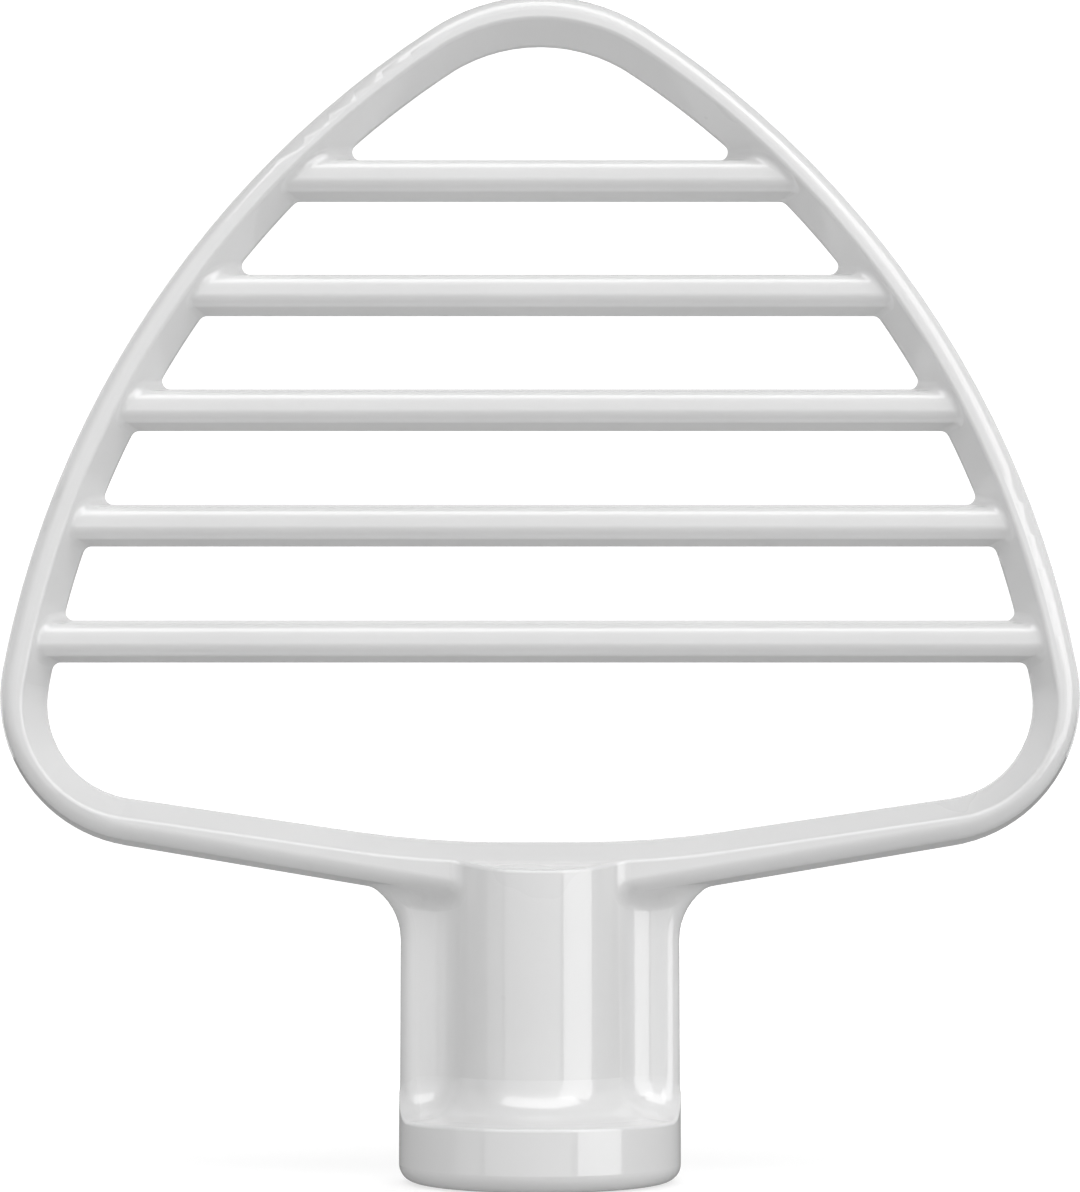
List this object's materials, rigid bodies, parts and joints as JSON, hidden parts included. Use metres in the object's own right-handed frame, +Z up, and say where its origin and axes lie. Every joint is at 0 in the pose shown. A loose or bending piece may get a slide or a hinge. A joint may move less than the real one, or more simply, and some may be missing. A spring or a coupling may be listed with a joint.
{
  "type": "stand mixer beater",
  "caption": "One-piece coated metal beater: a rounded triangular loop with level cross bars, on a ribbed hub whose blind bore takes a stand mixer's shaft and pin.",
  "frame": {"origin": "centre of the hub's mouth, at the bottom of the part as it stands on its hub", "axes": "+Z up along the bore, from the mouth to the loop's nose; X across the loop; Y through its depth, with the pin slot on the +Y side"},
  "size_m": [0.127, 0.0328, 0.1397],
  "materials": {
    "coat": "smooth glossy white coat"
  },
  "bodies": {
    "root": {"beater": "coat"}
  },
  "joints": []
}
